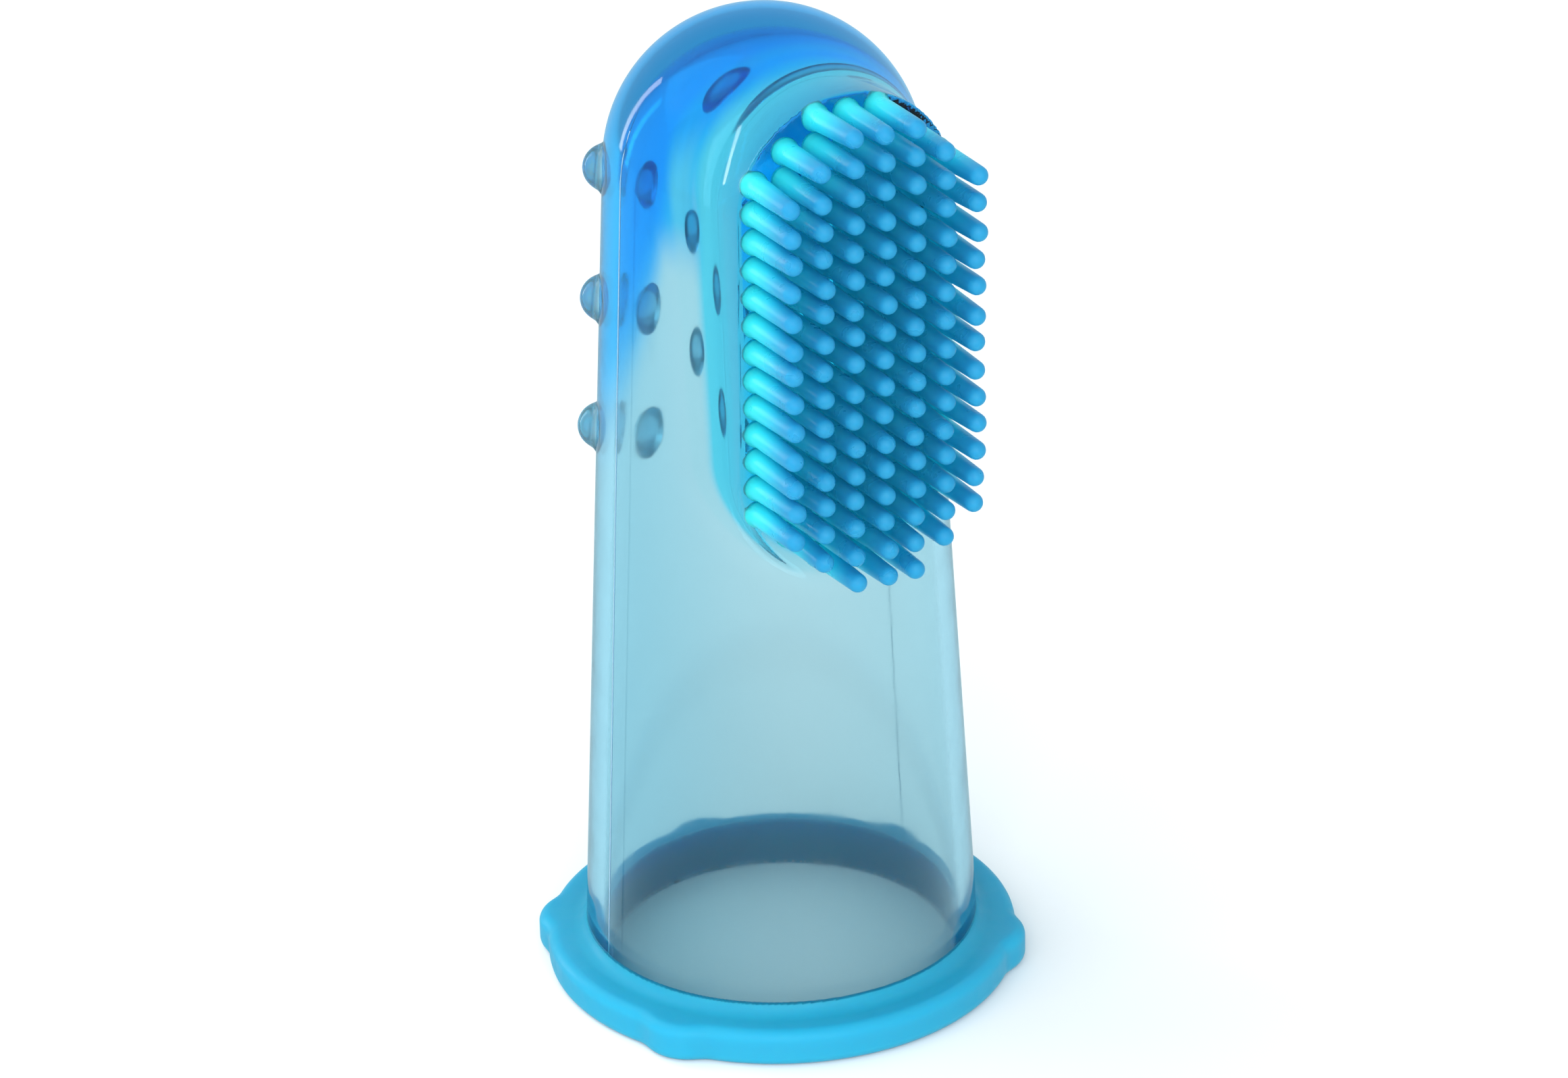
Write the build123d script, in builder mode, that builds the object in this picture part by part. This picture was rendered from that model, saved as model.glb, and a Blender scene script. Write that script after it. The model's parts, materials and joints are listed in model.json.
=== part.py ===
"""Finger toothbrush for pets: a soft tapered thimble with a bristle pad, grip nubs and a rim ring.

The finger goes in at the open rim and points along +Z. The origin is the centre of the rim's
bottom plane, the bristles face -Y and the grip nubs are on the back, towards +Y. Sizes in mm.
"""

from build123d import *
from math import cos, radians, sin, tan
import os

# Sleeve and tip: a slim cone that runs tangent into a round tip
overall_height = 55.0
tip_radius = 8.36
sleeve_taper = 3.14
sleeve_wall = 0.95
tip_wall = 1.5
mouth_length = 3.0

# Rim ring round the open end, with rounded lobes to pull it on by
ring_width = 2.0
ring_height = 2.1
ring_edge = 0.55
ring_root = 0.7
lobe_radius = 2.6
lobe_reach = 0.6
lobe_angles = [57, 120, 180, 240, 308]
lobe_blend = 0.5

# Pad that carries the bristles
pad_rise = 0.15
pad_slant = 1.5
pad_margin = 0.95
pad_edge = 0.3
pad_top_gap = 1.2

# Bristles: full rows of seven, shorter rows at both ends of the pad
bristle_radius = 0.52
bristle_length = 4.92
bristle_lift = 3.6
bristle_column_pitch = 1.686
bristle_row_pitch = 1.512
bristle_clearance = 0.06
full_row = 7
full_rows = 13
end_rows = [3, 5]

# Grip nubs: columns on the back, each with its angle and how far down it starts, in pitches
nub_radius = 1.25
nub_reach = 1.12
nub_pitch = 7.36
nub_top_drop = 7.7
nubs_per_column = 3
nub_columns = [("nub_column_left_outer", 57, 0.16), ("nub_column_left_inner", 28, 0.46),
               ("nub_column_right_inner", -19, 0.0), ("nub_column_right_outer", -57, 0.46)]

# Places that follow from the sizes above
tip_centre = overall_height - tip_radius
cone_slope = tan(radians(sleeve_taper))
sleeve_top = tip_centre + tip_radius * sin(radians(sleeve_taper))
sleeve_top_radius = tip_radius * cos(radians(sleeve_taper))


def outer_radius(height):
    """Outer radius of the sleeve's cone at a height."""
    return sleeve_top_radius + cone_slope * (sleeve_top - height)


mouth_radius = outer_radius(mouth_length) - sleeve_wall
sleeve_top_bore = sleeve_top_radius - sleeve_wall
bore_top = overall_height - tip_wall
bore_tip_rise = bore_top - sleeve_top
bore_tip_radius = (sleeve_top_bore ** 2 + bore_tip_rise ** 2) / (2 * bore_tip_rise)

row_counts = end_rows + [full_row] * full_rows + end_rows[::-1]
pad_width = (full_row - 1) * bristle_column_pitch + 2 * pad_margin
pad_height = (len(row_counts) - 1) * bristle_row_pitch + 2 * pad_margin
pad_middle = overall_height - pad_top_gap - pad_height / 2
pad_foot = pad_middle - pad_height / 2
pad_face = outer_radius(pad_foot) + pad_rise + tan(radians(pad_slant)) * pad_height / 2
ring_radius = outer_radius(0) + ring_width
ring_step = ring_radius - outer_radius(ring_height)
ring_root_fit = min(ring_root, 0.4 * ring_step)
ring_edge_fit = min(ring_edge, 0.4 * ring_step, 0.45 * ring_height)
pad_plane = Plane(origin=(0, -pad_face, pad_middle), x_dir=(1, 0, 0),
                  z_dir=(0, -cos(radians(pad_slant)), -sin(radians(pad_slant))))
hinge_height = bristle_radius + bristle_clearance
outward = Vector(0, -cos(radians(bristle_lift)), sin(radians(bristle_lift)))
inward = -outward

parts = {}


def keep(name, builder):
    """Label a finished piece and hold it for export."""
    builder.part.label = name
    parts[name] = builder.part


def outer_outline():
    """Line along the outside, from the rim to the top of the tip."""
    Line((outer_radius(0), 0), (sleeve_top_radius, sleeve_top))
    CenterArc((0, tip_centre), tip_radius, sleeve_taper, 90 - sleeve_taper)


# Solid of the whole outer shape, used to seat the pad, ring and nubs on the sleeve
with BuildPart() as outer_form:
    with BuildSketch(Plane.XZ):
        with BuildLine():
            outer_outline()
            Polyline((0, overall_height), (0, 0), (outer_radius(0), 0))
        make_face()
    revolve(axis=Axis.Z)

with BuildPart() as finger_sleeve:
    with BuildSketch(Plane.XZ):
        with BuildLine():
            Polyline((mouth_radius, 0), (outer_radius(0), 0), (sleeve_top_radius, sleeve_top),
                     (sleeve_top_bore, sleeve_top), (mouth_radius, mouth_length), close=True)
        make_face()
    revolve(axis=Axis.Z)
keep("finger_sleeve", finger_sleeve)

with BuildPart() as domed_tip:
    with BuildSketch(Plane.XZ):
        with BuildLine():
            CenterArc((0, tip_centre), tip_radius, sleeve_taper, 90 - sleeve_taper)
            Line((0, overall_height), (0, bore_top))
            RadiusArc((sleeve_top_bore, sleeve_top), (0, bore_top), -bore_tip_radius)
            Line((sleeve_top_bore, sleeve_top), (sleeve_top_radius, sleeve_top))
        make_face()
    revolve(axis=Axis.Z)
keep("domed_tip", domed_tip)

with BuildPart() as rim_ring:
    with BuildSketch() as ring_outline:
        Circle(ring_radius)
        for angle in lobe_angles:
            with PolarLocations(ring_radius + lobe_reach - lobe_radius, 1, start_angle=angle - 90):
                Circle(lobe_radius)
        fillet(ring_outline.vertices(), lobe_blend)
    extrude(amount=ring_height)
    fillet(rim_ring.faces().filter_by(Axis.Z).edges(), ring_edge_fit)
    with BuildSketch(Plane.XZ):
        with BuildLine():
            inside = outer_radius(ring_height + ring_root_fit) - sleeve_wall / 2
            foot = (outer_radius(ring_height) + ring_root_fit, ring_height)
            crown = (outer_radius(ring_height + ring_root_fit), ring_height + ring_root_fit)
            RadiusArc(crown, foot, ring_root_fit * 1.05)
            Polyline(foot, (inside, ring_height), (inside, crown[1]), crown)
        make_face()
    revolve(axis=Axis.Z)
    add(outer_form.part, mode=Mode.SUBTRACT)
keep("rim_ring", rim_ring)

with BuildPart() as brush_pad:
    with BuildSketch(pad_plane):
        SlotOverall(pad_height, pad_width, rotation=90)
    extrude(amount=pad_face, dir=inward)
    fillet(brush_pad.faces().sort_by(Axis((0, 0, 0), pad_plane.z_dir))[-1].edges(), pad_edge)
    add(outer_form.part, mode=Mode.SUBTRACT)
keep("brush_pad", brush_pad)

# One bristle along +Z: a straight stem with a round root about the origin and a round tip
stem = bristle_length - bristle_radius - hinge_height
with BuildPart() as bristle:
    with BuildSketch(Plane.XZ):
        with BuildLine():
            CenterArc((0, 0), bristle_radius, -90, 90)
            Line((bristle_radius, 0), (bristle_radius, stem))
            CenterArc((0, stem), bristle_radius, 0, 90)
            Line((0, stem + bristle_radius), (0, -bristle_radius))
        make_face()
    revolve(axis=Axis.Z)

for index, count in enumerate(row_counts):
    from_middle = ((len(row_counts) - 1) / 2 - index) * bristle_row_pitch
    hinge = pad_plane.from_local_coords((0, from_middle, hinge_height))
    row_plane = Plane(origin=hinge, x_dir=(1, 0, 0), z_dir=outward)
    with BuildPart(row_plane) as bristle_row:
        with GridLocations(bristle_column_pitch, 1, count, 1):
            add(bristle.part)
    keep(f"bristle_row_{index + 1:02d}", bristle_row)

# The nubs seat on the sleeve's cone, run on past the tip so that each one has a whole seat
with BuildPart() as nub_seat:
    Cone(outer_radius(0), outer_radius(overall_height), overall_height,
         align=(Align.CENTER, Align.CENTER, Align.MIN))

for name, angle, stagger in nub_columns:
    with BuildPart() as nub_column:
        for step in range(nubs_per_column):
            height = overall_height - nub_top_drop - (step + stagger) * nub_pitch
            seat = outer_radius(min(height, sleeve_top)) + nub_reach - nub_radius
            away = Vector(-sin(radians(angle)), cos(radians(angle)), 0)
            place = away * seat + Vector(0, 0, height)
            with Locations(Plane(origin=place, z_dir=away)):
                Sphere(nub_radius)
        add(nub_seat.part, mode=Mode.SUBTRACT)
    keep(name, nub_column)

os.makedirs("parts", exist_ok=True)
for name, part in parts.items():
    export_step(part, f"parts/{name}.step")
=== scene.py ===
"""Visual model of a soft silicone finger toothbrush for pets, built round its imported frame.

The clear body (sleeve, round tip and bristle pad) is one seamless skin, because the real brush is
one moulding. The satin rim, the mould seams, the grip nubs and each row of bristles are pieces of
their own. Shapes are worked out in millimetres and turned into metres when a mesh is made.
"""

import json
import math
from itertools import product

import bpy
import numpy as np
from mathutils import Matrix, Vector


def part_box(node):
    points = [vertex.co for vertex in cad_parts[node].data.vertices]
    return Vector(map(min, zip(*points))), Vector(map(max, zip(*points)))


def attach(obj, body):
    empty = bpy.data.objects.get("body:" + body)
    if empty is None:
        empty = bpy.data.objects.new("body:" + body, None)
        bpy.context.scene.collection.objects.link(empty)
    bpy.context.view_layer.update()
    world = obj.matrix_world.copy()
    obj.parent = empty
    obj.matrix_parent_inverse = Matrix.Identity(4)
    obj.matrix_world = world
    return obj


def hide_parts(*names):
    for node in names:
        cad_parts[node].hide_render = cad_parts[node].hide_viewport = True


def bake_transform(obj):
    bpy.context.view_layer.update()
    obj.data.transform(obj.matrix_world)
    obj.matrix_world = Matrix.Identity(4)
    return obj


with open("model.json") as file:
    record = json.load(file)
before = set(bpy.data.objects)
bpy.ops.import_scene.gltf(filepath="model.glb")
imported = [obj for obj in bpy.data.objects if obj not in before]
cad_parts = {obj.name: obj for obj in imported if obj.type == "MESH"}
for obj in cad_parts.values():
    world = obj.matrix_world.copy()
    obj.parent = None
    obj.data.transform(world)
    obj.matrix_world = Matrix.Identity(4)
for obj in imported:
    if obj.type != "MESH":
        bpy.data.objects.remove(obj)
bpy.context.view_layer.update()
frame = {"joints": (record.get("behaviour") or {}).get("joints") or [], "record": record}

MM = 0.001
BODY = "moulding"


def box_mm(node):
    """Lowest and highest corner of a CAD node in millimetres."""
    low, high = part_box(node)
    return low / MM, high / MM


# ---------------------------------------------------------------- sizes read from the frame
sleeve_high = box_mm("finger_sleeve")[1]
tip_high = box_mm("domed_tip")[1]
pad_low, pad_high = box_mm("brush_pad")
ring_low, ring_high = box_mm("rim_ring")
mounts = {mount["name"]: mount for mount in frame["record"]["mounts"]}

HEIGHT = tip_high.z
FOOT_RADIUS = sleeve_high.x
TOP_RADIUS = tip_high.x
TAPER = math.atan((FOOT_RADIUS - TOP_RADIUS) / sleeve_high.z)
MOUTH_RADIUS = mounts["finger_mouth"]["dims"]["r_mm"]
SLEEVE_WALL = 0.95
TIP_WALL = 1.5

# ---------------------------------------------------------------- sizes of the moulded details
RING_HEIGHT = 2.1
RING_EDGE = 0.6
RING_ROOT = 0.9
LOBE_RADIUS = 2.6
LOBE_REACH = 0.6
LOBE_ANGLES = (57, 120, 180, 240, 308)
LOBE_BLEND = 0.35
RING_RADIUS = FOOT_RADIUS + 2.0
RING_SEAT = 0.4
RING_TUCK = 0.03
RING_SEAT_EDGE = 0.15
MOUTH_EDGE = 0.3

PAD_SLANT = math.radians(1.5)
PAD_EDGE = 0.14
PAD_ROOT = 2.0
BRISTLE_LIFT = math.radians(3.6)
BRISTLE_RADIUS = 0.52
BRISTLE_FOOT = 0.62
BRISTLE_TIP = 0.5
BRISTLE_FLARE = 0.12
BRISTLE_SUNK = 0.25
BRISTLE_SIDES = 20
FULL_ROW = 7
FLARE_FADE = 0.12
CROWN_RISE = 0.03
HINGE_HEIGHT = 0.58

SEAMS = ((-85.5, 0.14), (111, 0.06))
SEAM_START = 2.4
SEAM_END = 51.0
SEAM_RISE = 0.03
SEAM_STEPS = 40

NUB_RADIUS = 1.25
NUB_REACH = 1.12
NUB_FLARE = 0.22
NUB_SUNK = 0.16
NUB_CROWN = 0.04
NUB_SIDES = 36
NUB_NODES = ("nub_column_left_outer", "nub_column_left_inner",
             "nub_column_right_inner", "nub_column_right_outer")
NUBS_PER_COLUMN = 3

SKIN_STEP = 0.22
RING_STEP = 0.15

row_joints = sorted(frame["joints"], key=lambda joint: joint["child"])
hinges = [Vector(joint["pos_m"]) / MM for joint in row_joints]
face_normal = Vector((0, -math.cos(PAD_SLANT), -math.sin(PAD_SLANT)))
outward = Vector((0, -math.cos(BRISTLE_LIFT), math.sin(BRISTLE_LIFT)))
face_point = (hinges[0] + hinges[-1]) / 2 - face_normal * HINGE_HEIGHT
full_row_low, full_row_high = box_mm("bristle_row_09")
COLUMN_PITCH = (full_row_high.x - full_row_low.x - 2 * BRISTLE_RADIUS) / (FULL_ROW - 1)


# ---------------------------------------------------------------- distance fields, in millimetres
def joined(first, second, blend):
    """Union of two fields with a soft fillet of about that size."""
    share = np.clip(0.5 + 0.5 * (second - first) / blend, 0, 1)
    return second + (first - second) * share - blend * share * (1 - share)


def cut(first, second, blend):
    """First field without the second, with a rounded edge."""
    return -joined(-first, second, blend)


def round_cap(foot_radius, top):
    """Radius and centre height of the cap that a cone of that foot and height runs into."""
    slope = math.tan(TAPER)
    radius = (foot_radius - slope * top) / (1 / math.cos(TAPER) - slope)
    return radius, top - radius


def thimble(radial, z, foot_radius, top):
    """A cone that runs tangent into a round cap."""
    cap_radius, cap_centre = round_cap(foot_radius, top)
    cone = (radial - foot_radius + math.tan(TAPER) * z) * math.cos(TAPER)
    cap = np.hypot(radial, z - cap_centre) - cap_radius
    on_cap = (z - cap_centre) * math.cos(TAPER) > radial * math.sin(TAPER)
    return np.where(on_cap, cap, cone)


def cavity(radial, z):
    """The finger's room inside, open at the bottom."""
    bore = thimble(radial, z, FOOT_RADIUS - SLEEVE_WALL, HEIGHT - TIP_WALL)
    return np.maximum(bore, radial - MOUTH_RADIUS)


def with_pad(body, x, y, z):
    """Adds the pad: a stadium outline carried back along the bristles, flared into the sleeve."""
    half_width = (pad_high.x - pad_low.x) / 2
    half_straight = (pad_high.z - pad_low.z) / 2 - half_width
    middle = (pad_high.z + pad_low.z) / 2
    along = z - middle + math.tan(BRISTLE_LIFT) * (y - face_point.y)
    side = np.hypot(x, np.maximum(np.abs(along) - half_straight, 0)) - half_width
    side = np.maximum(side, y)
    above = (y - face_point.y) * face_normal.y + (z - face_point.z) * face_normal.z
    return np.minimum(body, cut(joined(side, body, PAD_ROOT), -above, PAD_EDGE))


def nub_centres(node):
    """Centres of one column's grip nubs, from its CAD solids."""
    low, high = box_mm(node)
    middle = (low + high) / 2
    angle = math.atan2(middle.y, middle.x)
    pitch = (high.z - low.z - 2 * NUB_RADIUS) / (NUBS_PER_COLUMN - 1)
    centres = []
    for step in range(NUBS_PER_COLUMN):
        height = high.z - NUB_RADIUS - step * pitch
        seat = FOOT_RADIUS - math.tan(TAPER) * height + NUB_REACH - NUB_RADIUS
        centres.append(Vector((seat * math.cos(angle), seat * math.sin(angle), height)))
    return centres


def clear_body(x, y, z):
    """Sleeve, tip and pad as one moulding with the finger's room cut out."""
    radial = np.hypot(x, y)
    solid = np.maximum(thimble(radial, z, FOOT_RADIUS, HEIGHT), -z)
    solid = with_pad(solid, x, y, z)
    return cut(solid, cavity(radial, z), MOUTH_EDGE)


def rim(x, y, z):
    """The thick ring with its pull lobes, hollowed to fit round the sleeve."""
    radial = np.hypot(x, y)
    outline = radial - RING_RADIUS
    for angle in LOBE_ANGLES:
        turn = math.radians(angle - 90)
        reach = RING_RADIUS + LOBE_REACH - LOBE_RADIUS
        lobe = np.hypot(x - reach * math.cos(turn), y - reach * math.sin(turn)) - LOBE_RADIUS
        outline = joined(outline, lobe, LOBE_BLEND)
    side = outline + RING_EDGE
    flat = np.abs(z - RING_HEIGHT / 2) - RING_HEIGHT / 2 + RING_EDGE
    outside = np.hypot(np.maximum(side, 0), np.maximum(flat, 0))
    band = np.minimum(np.maximum(side, flat), 0) + outside - RING_EDGE
    sleeve = thimble(radial, z, FOOT_RADIUS, HEIGHT) + RING_TUCK
    whole = np.maximum(joined(band, sleeve, RING_ROOT), z - RING_HEIGHT - 0.65 * RING_ROOT)
    whole = np.maximum(whole, -z)
    return cut(whole, sleeve + RING_SEAT, RING_SEAT_EDGE)


# ---------------------------------------------------------------- meshes
def slope_of(field, points):
    """Unit direction in which the field grows, at each point."""
    reach = 0.01
    slope = np.empty_like(points)
    for axis in range(3):
        step = np.zeros(3)
        step[axis] = reach
        slope[:, axis] = field(*(points + step).T) - field(*(points - step).T)
    return slope / np.maximum(np.linalg.norm(slope, axis=1, keepdims=True), 1e-9)


def settle(field, points, rounds=3):
    """Moves points onto the field's surface."""
    for _ in range(rounds):
        points = points - slope_of(field, points) * field(*points.T)[:, None]
    return points


def relaxed(points, quads):
    """Each point at the middle of its neighbours."""
    total = np.zeros_like(points)
    count = np.zeros(len(points))
    for here in range(4):
        for there in ((here + 1) % 4, (here + 3) % 4):
            np.add.at(total, quads[:, here], points[quads[:, there]])
            np.add.at(count, quads[:, here], 1)
    return total / count[:, None]


def skin(name, field, low, high, step):
    """A closed quad mesh of a field's surface, evenly spaced, with the field's own normals."""
    axes = [np.arange(a - 2 * step, b + 3 * step, step) for a, b in zip(low, high)]
    inside = field(*np.meshgrid(*axes, indexing="ij")) < 0
    size = [n - 1 for n in inside.shape]
    corners = sum(inside[i:size[0] + i, j:size[1] + j, k:size[2] + k].astype(np.int8)
                  for i, j, k in product((0, 1), repeat=3))
    crossed = (corners > 0) & (corners < 8)
    number = np.full(crossed.shape, -1)
    number[crossed] = np.arange(crossed.sum())
    start = np.array([axis[0] for axis in axes])
    points = start + (np.argwhere(crossed) + 0.5) * step
    quads = []
    for axis in range(3):
        state, cell = np.moveaxis(inside, axis, 0), np.moveaxis(number, axis, 0)
        before, after = state[:-1, 1:-1, 1:-1], state[1:, 1:-1, 1:-1]
        i, j, k = np.nonzero(before != after)
        ring = np.stack([cell[i, j, k], cell[i, j + 1, k],
                         cell[i, j + 1, k + 1], cell[i, j, k + 1]], 1)
        turned = before[i, j, k] == (axis == 1)
        ring[turned] = ring[turned][:, ::-1]
        quads.append(ring)
    quads = np.concatenate(quads)
    points = settle(field, points)
    for _ in range(3):
        points = settle(field, 0.5 * points + 0.5 * relaxed(points, quads), 1)
    points = settle(field, points, 2)
    return mesh_piece(name, points, quads.tolist(), slope_of(field, points))


def mesh_piece(name, points, faces, normals=None):
    """A smooth mesh object from points in millimetres."""
    mesh = bpy.data.meshes.new(name)
    mesh.from_pydata((np.asarray(points) * MM).tolist(), [], faces)
    mesh.update()
    mesh.shade_smooth()
    if normals is not None:
        mesh.normals_split_custom_set_from_vertices(normals.tolist())
    piece = bpy.data.objects.new(name, mesh)
    bpy.context.scene.collection.objects.link(piece)
    return piece


def outer_radius(height):
    """The wall's outer radius at a height: the cone's, or the round tip's above it."""
    cap_radius, cap_centre = round_cap(FOOT_RADIUS, HEIGHT)
    above = height - cap_centre
    if above > cap_radius * math.sin(TAPER):
        return math.sqrt(cap_radius ** 2 - above ** 2)
    return FOOT_RADIUS - math.tan(TAPER) * height


def mould_seams():
    """Fine ridges left by the mould, up both sides of the sleeve and over onto the tip."""
    heights = np.linspace(SEAM_START, SEAM_END, SEAM_STEPS)
    outline = ((-1, -1), (-0.6, 0.6), (0, 1), (0.6, 0.6), (1, -1))
    points, faces = [], []
    for angle, width in SEAMS:
        out = np.array((math.sin(math.radians(angle)), -math.cos(math.radians(angle)), 0))
        side = np.array((-out[1], out[0], 0))
        base = len(points)
        for height in heights:
            ends = min(1, 0.2 + 0.4 * min(height - SEAM_START, SEAM_END - height))
            radial = outer_radius(height)
            for across, up in outline:
                place = out * (radial + SEAM_RISE * up * ends) + side * width / 2 * across * ends
                points.append(place + np.array((0, 0, height)))
        count = len(outline)
        for step in range(len(heights) - 1):
            for edge in range(count):
                a, b = base + step * count + edge, base + step * count + (edge + 1) % count
                faces.append((b, a, a + count, b + count))
        faces.append(tuple(base + edge for edge in range(count)))
        faces.append(tuple(len(points) - 1 - edge for edge in range(count)))
    return mesh_piece("mould_seams", points, faces)


def add_stem(points, faces, foot, stem, profile, sides):
    """Adds one closed round stem: rings of (height, radius) along a direction from its foot."""
    across = Vector((1, 0, 0)) - stem * stem.x
    across.normalize()
    up = stem.cross(across)
    base = len(points)
    for height, radius in profile:
        centre = foot + stem * height
        for side in range(sides):
            turn = 2 * math.pi * side / sides
            points.append(centre + across * radius * math.cos(turn) + up * radius * math.sin(turn))
    for ring in range(len(profile) - 1):
        for side in range(sides):
            a = base + ring * sides + side
            b = base + ring * sides + (side + 1) % sides
            faces.append((a, b, b + sides, a + sides))
    faces.append(tuple(base + side for side in reversed(range(sides))))
    points.append(foot + stem * (profile[-1][0] + CROWN_RISE))
    tip, last = len(points) - 1, base + (len(profile) - 1) * sides
    for side in range(sides):
        faces.append((last + side, last + (side + 1) % sides, tip))


def grip_nubs(node):
    """One column of round nubs, each flared at its foot and rooted in the wall."""
    points, faces = [], []
    wall = NUB_RADIUS - NUB_REACH
    for centre in nub_centres(node):
        out = Vector((centre.x, centre.y, 0)).normalized() * math.cos(TAPER)
        out.z = math.sin(TAPER)
        profile = []
        for turn in np.linspace(-NUB_SUNK, math.pi / 2, 20)[:-1]:
            height = NUB_RADIUS * math.sin(turn)
            flare = NUB_FLARE * math.exp(-max(0, height - wall) / FLARE_FADE)
            profile.append((height, NUB_RADIUS * math.cos(turn) + flare))
        profile.append((NUB_RADIUS * math.cos(NUB_CROWN) - CROWN_RISE, NUB_RADIUS * NUB_CROWN))
        add_stem(points, faces, centre, out, profile, NUB_SIDES)
    piece = mesh_piece(node.replace("nub_column", "nubs"), [tuple(p) for p in points], faces)
    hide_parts(node)
    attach(piece, BODY)
    return piece


def bristle_profile(length):
    """(height, radius) down one bristle from its flared root to its round tip."""
    rows = [(-BRISTLE_SUNK, BRISTLE_FOOT + BRISTLE_FLARE)]
    straight = length - BRISTLE_TIP
    for height in np.linspace(0, straight, 16):
        flare = BRISTLE_FLARE * math.exp(-height / FLARE_FADE)
        share = height / straight
        rows.append((height, BRISTLE_FOOT * (1 - share) + BRISTLE_TIP * share + flare))
    for turn in np.linspace(0, math.pi / 2, 7)[1:-1]:
        rows.append((straight + BRISTLE_TIP * math.sin(turn), BRISTLE_TIP * math.cos(turn)))
    return rows


def bristle_row(index, chance):
    """One row of bristles: separate round-ended stems that grow out of the pad."""
    joint = row_joints[index]
    low, high = box_mm(joint["child"])
    hinge = hinges[index]
    columns = round((high.x - low.x - 2 * BRISTLE_RADIUS) / COLUMN_PITCH) + 1
    root = hinge - outward * HINGE_HEIGHT
    length = (hinge.y - low.y - BRISTLE_RADIUS) / math.cos(BRISTLE_LIFT) + HINGE_HEIGHT
    length += BRISTLE_RADIUS
    points, faces = [], []
    for column in range(columns):
        x = (column - (columns - 1) / 2) * COLUMN_PITCH
        lean = chance.normal(0, 0.012, 2)
        stem = (outward + Vector((lean[0], 0, lean[1]))).normalized()
        profile = bristle_profile(length * (1 - abs(chance.normal(0, 0.006))))
        add_stem(points, faces, Vector((x, root.y, root.z)), stem, profile, BRISTLE_SIDES)
    piece = mesh_piece(f"bristles_{index + 1:02d}", [tuple(p) for p in points], faces)
    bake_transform(piece)
    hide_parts(joint["child"])
    return piece


# ---------------------------------------------------------------- materials
def rgb(red, green, blue):
    """A colour socket's value."""
    return (red, green, blue, 1.0)


def new_material(name):
    """A material with a Principled shader, and its node tree's parts."""
    material = bpy.data.materials.new(name)
    material.use_nodes = True
    tree = material.node_tree
    return material, tree, tree.nodes["Principled BSDF"]


def silicone_skin():
    """Shared effect: faint moulded unevenness for the normal and a haze for the roughness."""
    group = bpy.data.node_groups.new("silicone_skin", "ShaderNodeTree")
    for name, kind, default in (("Scale", "NodeSocketFloat", 900.0),
                                ("Smooth", "NodeSocketFloat", 0.05),
                                ("Hazy", "NodeSocketFloat", 0.2),
                                ("Relief", "NodeSocketFloat", 0.1)):
        socket = group.interface.new_socket(name, in_out="INPUT", socket_type=kind)
        socket.default_value = default
    group.interface.new_socket("Roughness", in_out="OUTPUT", socket_type="NodeSocketFloat")
    group.interface.new_socket("Height", in_out="OUTPUT", socket_type="NodeSocketFloat")
    nodes, links = group.nodes, group.links
    entry, leave = nodes.new("NodeGroupInput"), nodes.new("NodeGroupOutput")
    place = nodes.new("ShaderNodeTexCoord")
    noise = nodes.new("ShaderNodeTexNoise")
    noise.inputs["Detail"].default_value = 3.0
    links.new(place.outputs["Object"], noise.inputs["Vector"])
    links.new(entry.outputs["Scale"], noise.inputs["Scale"])
    spread = nodes.new("ShaderNodeMapRange")
    links.new(noise.outputs["Fac"], spread.inputs["Value"])
    spread.inputs["From Min"].default_value = 0.3
    spread.inputs["From Max"].default_value = 0.7
    links.new(entry.outputs["Smooth"], spread.inputs["To Min"])
    links.new(entry.outputs["Hazy"], spread.inputs["To Max"])
    links.new(spread.outputs["Result"], leave.inputs["Roughness"])
    lift = nodes.new("ShaderNodeMath")
    lift.operation = "MULTIPLY"
    links.new(noise.outputs["Fac"], lift.inputs[0])
    links.new(entry.outputs["Relief"], lift.inputs[1])
    links.new(lift.outputs[0], leave.inputs["Height"])
    return group


def add_skin(tree, shader, group, scale, smooth, hazy, relief, distance):
    """Places the shared silicone effect in a material."""
    node = tree.nodes.new("ShaderNodeGroup")
    node.node_tree = group
    for name, value in (("Scale", scale), ("Smooth", smooth), ("Hazy", hazy), ("Relief", relief)):
        node.inputs[name].default_value = value
    bump = tree.nodes.new("ShaderNodeBump")
    bump.inputs["Distance"].default_value = distance
    tree.links.new(node.outputs["Height"], bump.inputs["Height"])
    tree.links.new(bump.outputs["Normal"], shader.inputs["Normal"])
    tree.links.new(node.outputs["Roughness"], shader.inputs["Roughness"])


def math_node(tree, operation, first, second=None):
    """A math node fed by sockets or plain numbers; returns its output."""
    node = tree.nodes.new("ShaderNodeMath")
    node.operation = operation
    for slot, value in enumerate((first, second)):
        if isinstance(value, (int, float)):
            node.inputs[slot].default_value = value
        elif value is not None:
            tree.links.new(value, node.inputs[slot])
    return node.outputs[0]


def ramp(tree, value, start, end):
    """A smooth step from 0 at the start to 1 at the end."""
    node = tree.nodes.new("ShaderNodeMapRange")
    node.interpolation_type = "SMOOTHSTEP"
    node.inputs["From Min"].default_value = start
    node.inputs["From Max"].default_value = end
    tree.links.new(value, node.inputs["Value"])
    return node.outputs["Result"]


def along(tree, place, direction):
    """How far a point lies along a direction."""
    node = tree.nodes.new("ShaderNodeVectorMath")
    node.operation = "DOT_PRODUCT"
    node.inputs[1].default_value = direction
    tree.links.new(place, node.inputs[0])
    return node.outputs["Value"]


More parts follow.
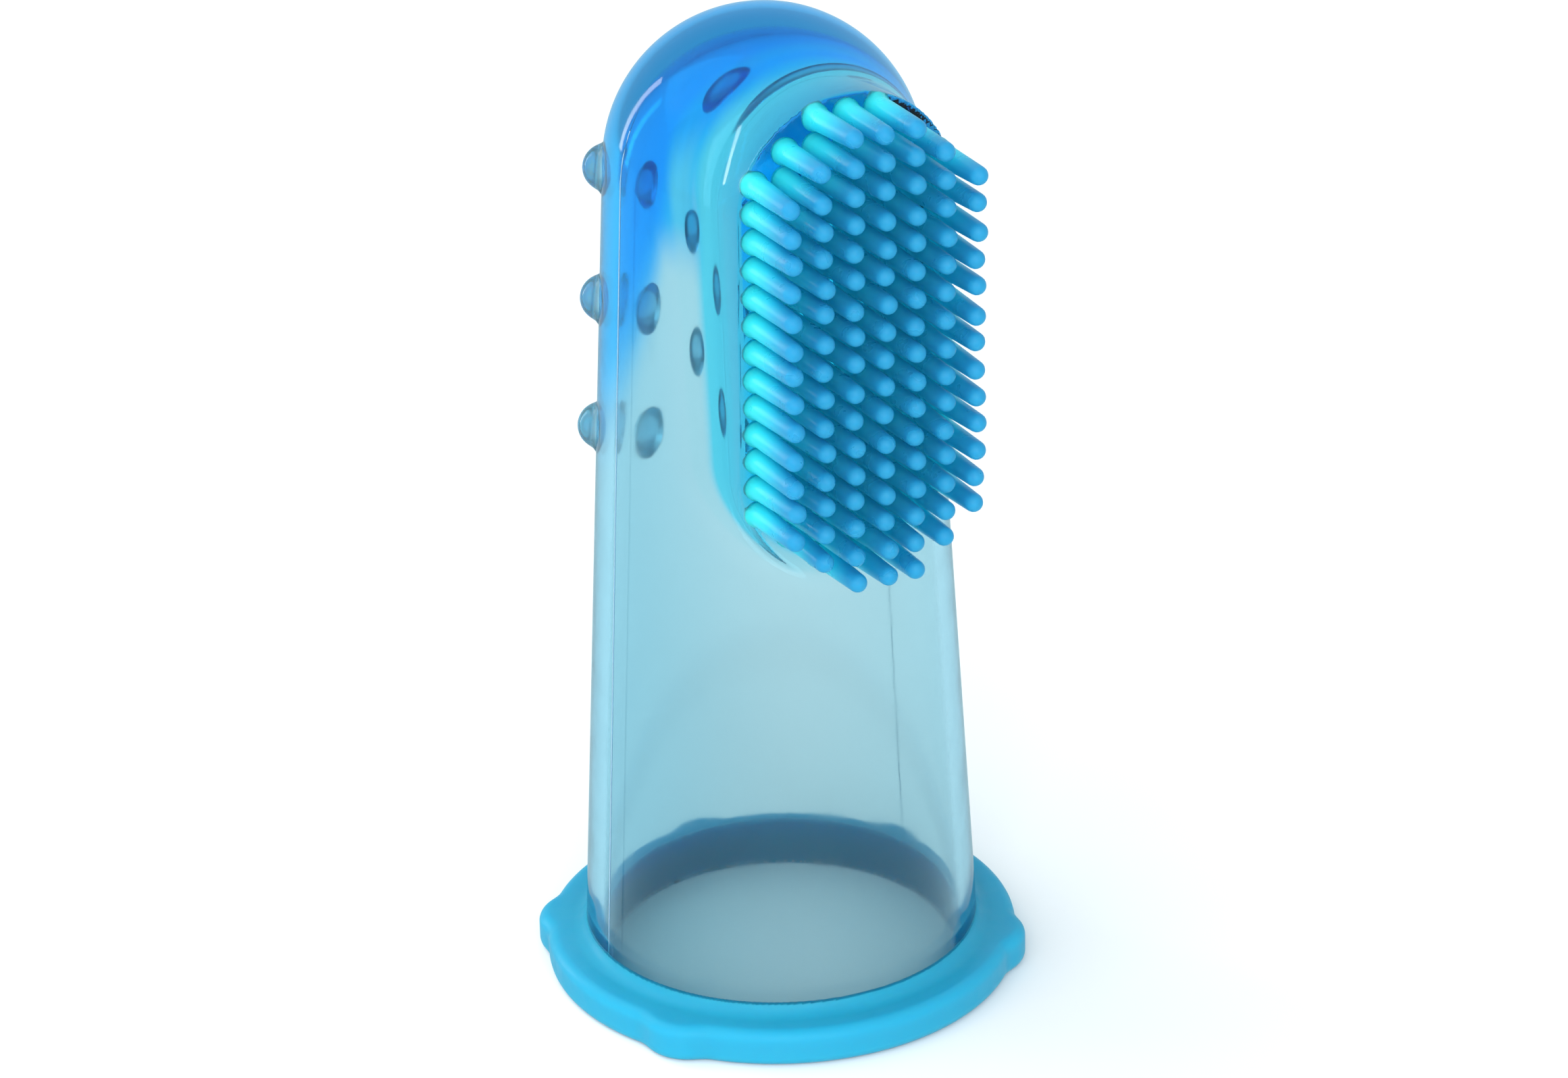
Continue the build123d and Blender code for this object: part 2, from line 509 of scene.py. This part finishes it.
# Where the blue deepens, in metres: each mask is a direction and the two distances it rises
# between. The deep blue runs down the left side of the tip and ends near the top elsewhere.
LEFT_BLUE = ((-2.44, 1.44, 1.0), 0.0545, 0.0610)
TOP_BLUE = ((0, 0, 1), 0.0430, 0.0465)
# Painted shade: the sleeve's left side is coloured a darker teal.
LEFT_SIDE_SHADE = ((-0.91, 0.41, 0), -0.0020, 0.0100)
PAD_FRONT = ((0, -1, 0), 0.0020, 0.0030)
PAD_SIDE_FADE = (0.0003, 0.0006)
PAD_FACE_FADE = (-0.0006, -0.0001)


def silicone_zones():
    """Masks by place: the deep blue of the tip, painted shade on the sleeve's left side, the pad's
    side and its face.
    """
    group = bpy.data.node_groups.new("silicone_zones", "ShaderNodeTree")
    for name in ("Deep", "Left Side Shade", "Pad Side", "Pad Face"):
        group.interface.new_socket(name, in_out="OUTPUT", socket_type="NodeSocketFloat")
    leave = group.nodes.new("NodeGroupOutput")
    place = group.nodes.new("ShaderNodeTexCoord").outputs["Object"]
    left, top, side, front = (ramp(group, along(group, place, direction), start, end)
                              for direction, start, end in (LEFT_BLUE, TOP_BLUE, LEFT_SIDE_SHADE,
                                                            PAD_FRONT))
    half_width = (pad_high.x - pad_low.x) / 2 * MM
    half_straight = (pad_high.z - pad_low.z) / 2 * MM - half_width
    middle = ((pad_high.z + pad_low.z) / 2 + math.tan(BRISTLE_LIFT) * face_point.y) * MM
    lengthways = along(group, place, (0, math.tan(BRISTLE_LIFT), 1))
    lengthways = math_node(group, "SUBTRACT", lengthways, middle)
    past = math_node(group, "SUBTRACT", math_node(group, "ABSOLUTE", lengthways), half_straight)
    past = math_node(group, "MAXIMUM", past, 0.0)
    across = along(group, place, (1, 0, 0))
    square = math_node(group, "ADD", math_node(group, "MULTIPLY", across, across),
                       math_node(group, "MULTIPLY", past, past))
    edge = math_node(group, "SUBTRACT", math_node(group, "SQRT", square), half_width)
    within = math_node(group, "SUBTRACT", 1.0, ramp(group, edge, *PAD_SIDE_FADE))
    face = math_node(group, "SUBTRACT", 1.0, ramp(group, edge, *PAD_FACE_FADE))
    group.links.new(math_node(group, "MAXIMUM", left, top), leave.inputs["Deep"])
    group.links.new(side, leave.inputs["Left Side Shade"])
    group.links.new(math_node(group, "MULTIPLY", within, front), leave.inputs["Pad Side"])
    group.links.new(math_node(group, "MULTIPLY", face, front), leave.inputs["Pad Face"])
    return group


def mixed(tree, share, first, second):
    """A colour between two colours or colour sockets."""
    node = tree.nodes.new("ShaderNodeMix")
    node.data_type = "RGBA"
    tree.links.new(share, node.inputs["Factor"])
    for name, value in (("A", first), ("B", second)):
        if isinstance(value, tuple):
            node.inputs[name].default_value = value
        else:
            tree.links.new(value, node.inputs[name])
    return node.outputs["Result"]


def clear_silicone(effect, zones):
    """Clear blue silicone: pale on the sleeve with painted shade in a darker teal on its left side,
    deep blue over the tip and on the pad's face.
    """
    material, tree, shader = new_material("clear_blue_silicone")
    shader.inputs["Transmission Weight"].default_value = 1.0
    shader.inputs["IOR"].default_value = 1.41
    add_skin(tree, shader, effect, 500.0, 0.03, 0.10, 0.2, 0.00002)
    where = tree.nodes.new("ShaderNodeGroup")
    where.node_tree = zones
    # Painted shade: the sleeve's left side is mixed towards a darker teal.
    colour = mixed(tree, where.outputs["Left Side Shade"], rgb(0.84, 0.87, 0.86), rgb(0.70, 0.82, 0.84))
    colour = mixed(tree, where.outputs["Deep"], colour, rgb(0.04, 0.56, 0.95))
    colour = mixed(tree, where.outputs["Pad Side"], colour, rgb(0.70, 0.84, 0.84))
    colour = mixed(tree, where.outputs["Pad Face"], colour, rgb(0.04, 0.74, 0.95))
    tree.links.new(colour, shader.inputs["Base Color"])
    absorb = tree.nodes.new("ShaderNodeVolumeAbsorption")
    absorb.inputs["Color"].default_value = rgb(0.0, 0.68, 0.87)
    absorb.inputs["Density"].default_value = 285.0
    tree.links.new(absorb.outputs["Volume"], tree.nodes["Material Output"].inputs["Volume"])
    return material


def satin_silicone(effect):
    """Cloudy cyan blue silicone of the thick rim."""
    material, tree, shader = new_material("satin_rim_silicone")
    shader.inputs["Base Color"].default_value = rgb(0.02, 0.38, 0.58)
    shader.inputs["Subsurface Weight"].default_value = 0.8
    shader.inputs["Subsurface Radius"].default_value = (0.3, 1.0, 1.3)
    shader.inputs["Subsurface Scale"].default_value = 0.0012
    shader.inputs["Transmission Weight"].default_value = 0.15
    shader.inputs["IOR"].default_value = 1.41
    add_skin(tree, shader, effect, 900.0, 0.3, 0.45, 0.5, 0.00003)
    return material


def bristle_silicone(effect):
    """Translucent cyan blue silicone of the bristles, with painted light at the roots and painted
    shade towards the tips.
    """
    material, tree, shader = new_material("bristle_silicone")
    place = tree.nodes.new("ShaderNodeTexCoord").outputs["Object"]
    from_face = along(tree, place, tuple(face_normal))
    face_distance = face_point.dot(face_normal) * MM
    # Painted light and shade: coloured lighter at the roots, where the rows shade each other, and
    # darker towards the tips.
    reach = ramp(tree, from_face, face_distance, face_distance + 0.0048)
    colour = mixed(tree, reach, rgb(0.03, 0.76, 1.0), rgb(0.02, 0.26, 0.48))
    tree.links.new(colour, shader.inputs["Base Color"])
    shader.inputs["Subsurface Weight"].default_value = 1.0
    shader.inputs["Subsurface Radius"].default_value = (0.4, 1.0, 1.2)
    shader.inputs["Subsurface Scale"].default_value = 0.0020
    shader.inputs["Transmission Weight"].default_value = 0.2
    shader.inputs["IOR"].default_value = 1.41
    add_skin(tree, shader, effect, 600.0, 0.25, 0.35, 0.2, 0.00001)
    return material


def nub_silicone(effect):
    """Pale silicone of the grip nubs, slightly milky."""
    material, tree, shader = new_material("nub_silicone")
    shader.inputs["Base Color"].default_value = rgb(0.36, 0.72, 0.88)
    shader.inputs["Subsurface Weight"].default_value = 0.8
    shader.inputs["Subsurface Radius"].default_value = (0.4, 1.0, 1.2)
    shader.inputs["Subsurface Scale"].default_value = 0.0015
    shader.inputs["Transmission Weight"].default_value = 0.85
    shader.inputs["IOR"].default_value = 1.41
    add_skin(tree, shader, effect, 700.0, 0.08, 0.16, 0.2, 0.00001)
    return material


def seam_silicone():
    """The thin mould seam, a little darker than the wall."""
    material, tree, shader = new_material("seam_silicone")
    shader.inputs["Base Color"].default_value = rgb(0.25, 0.55, 0.80)
    shader.inputs["Roughness"].default_value = 0.2
    shader.inputs["Transmission Weight"].default_value = 0.8
    return material


def floor_material():
    """Plain pale floor."""
    material, tree, shader = new_material("pale_floor")
    shader.inputs["Base Color"].default_value = rgb(0.95, 0.91, 0.90)
    shader.inputs["Roughness"].default_value = 0.6
    return material


# ---------------------------------------------------------------- pieces
effect = silicone_skin()
body = skin("silicone_body", clear_body, (-FOOT_RADIUS, face_point.y - 1.0, 0.0),
            (FOOT_RADIUS, FOOT_RADIUS, HEIGHT), SKIN_STEP)
body.data.materials.append(clear_silicone(effect, silicone_zones()))
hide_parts("finger_sleeve", "domed_tip", "brush_pad")
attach(body, BODY)

nub_look = nub_silicone(effect)
for node in NUB_NODES:
    grip_nubs(node).data.materials.append(nub_look)

seams = mould_seams()
seams.data.materials.append(seam_silicone())
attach(seams, BODY)

ring = skin("satin_rim", rim, (ring_low.x, ring_low.y, 0.0), (ring_high.x, ring_high.y, ring_high.z),
            RING_STEP)
ring.data.materials.append(satin_silicone(effect))
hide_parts("rim_ring")
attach(ring, BODY)

bristle_look = bristle_silicone(effect)
chance = np.random.default_rng(11)
for index in range(len(row_joints)):
    bristle_row(index, chance).data.materials.append(bristle_look)


# ---------------------------------------------------------------- floor, light and camera
FLOOR_SIZE = 3.0
ROOM_STRENGTH = 0.75
LAMP_COLOUR = (1.0, 0.94, 0.91)
SOFT_BOXES = (("window", (-0.95, -0.55, 0.80), 1.5, 12.0),
              ("front", (-0.25, -0.85, 0.38), 0.7, 7.5),
              ("back", (-0.35, 0.40, 0.75), 0.7, 3.4))
SOFT_BOX_AIM = (0, 0, 0.025)
STRIP_PLACE = (-0.42, 0.66, 0.20)
STRIP_AIM = (0, 0, 0.045)

# The camera stands at this azimuth and elevation, and looks at a point beside the axis.
AZIMUTH = 24.283
ELEVATION = 25.255
ROLL = 1.317
DISTANCE = 0.2763
AIM_SIDE = 0.000608
AIM_HEIGHT = 0.02508
LENS = 118.6
BOUNCES = 24


def plain_floor():
    """A wide pale floor under the brush."""
    half = FLOOR_SIZE / 2
    mesh = bpy.data.meshes.new("floor")
    mesh.from_pydata([(-half, -half, 0), (half, -half, 0), (half, half, 0), (-half, half, 0)], [],
                     [(0, 1, 2, 3)])
    floor = bpy.data.objects.new("floor", mesh)
    bpy.context.scene.collection.objects.link(floor)
    mesh.materials.append(floor_material())
    floor.visible_glossy = False


def soft_light(name, place, aim, width, height, power):
    """An area light that faces a point."""
    lamp = bpy.data.lights.new(name, "AREA")
    lamp.shape = "RECTANGLE"
    lamp.size = width
    lamp.size_y = height
    lamp.energy = power
    lamp.color = LAMP_COLOUR
    light = bpy.data.objects.new(name, lamp)
    light.location = place
    light.rotation_euler = (Vector(aim) - Vector(place)).to_track_quat("-Z", "Y").to_euler()
    bpy.context.scene.collection.objects.link(light)
    return light


def set_world(strength):
    """Even pale blue light from all round."""
    world = bpy.data.worlds.new("soft_room")
    world.use_nodes = True
    world.node_tree.nodes["Background"].inputs["Color"].default_value = rgb(0.62, 0.86, 0.96)
    world.node_tree.nodes["Background"].inputs["Strength"].default_value = strength
    bpy.context.scene.world = world


def set_camera(azimuth, elevation, roll, distance, aim, lens):
    """A camera that looks at a point from an azimuth, an elevation and a small roll."""
    turn, rise = math.radians(azimuth), math.radians(elevation)
    back = Vector((-math.cos(rise) * math.sin(turn), -math.cos(rise) * math.cos(turn),
                   math.sin(rise)))
    right = Vector((math.cos(turn), -math.sin(turn), 0))
    up = back.cross(right)
    lean = math.radians(roll)
    rolled_right = right * math.cos(lean) - up * math.sin(lean)
    rolled_up = right * math.sin(lean) + up * math.cos(lean)
    place = Vector(aim) + back * distance
    turn_matrix = Matrix((rolled_right, rolled_up, back)).transposed().to_4x4()
    data = bpy.data.cameras.new("camera")
    data.lens = lens
    camera = bpy.data.objects.new("camera", data)
    camera.matrix_world = Matrix.Translation(place) @ turn_matrix
    bpy.context.scene.collection.objects.link(camera)
    bpy.context.scene.camera = camera


plain_floor()
set_world(ROOM_STRENGTH)
for name, place, size, power in SOFT_BOXES:
    soft_light(name, place, SOFT_BOX_AIM, size, size, power).visible_glossy = False
soft_light("strip", STRIP_PLACE, STRIP_AIM, 0.06, 0.5, 0.5)
turn = math.radians(AZIMUTH)
aim = (AIM_SIDE * math.cos(turn), -AIM_SIDE * math.sin(turn), AIM_HEIGHT)
set_camera(AZIMUTH, ELEVATION, ROLL, DISTANCE, aim, LENS)
bpy.context.scene.view_settings.view_transform = "Standard"
bpy.context.scene.cycles.max_bounces = BOUNCES
bpy.context.scene.cycles.transmission_bounces = BOUNCES
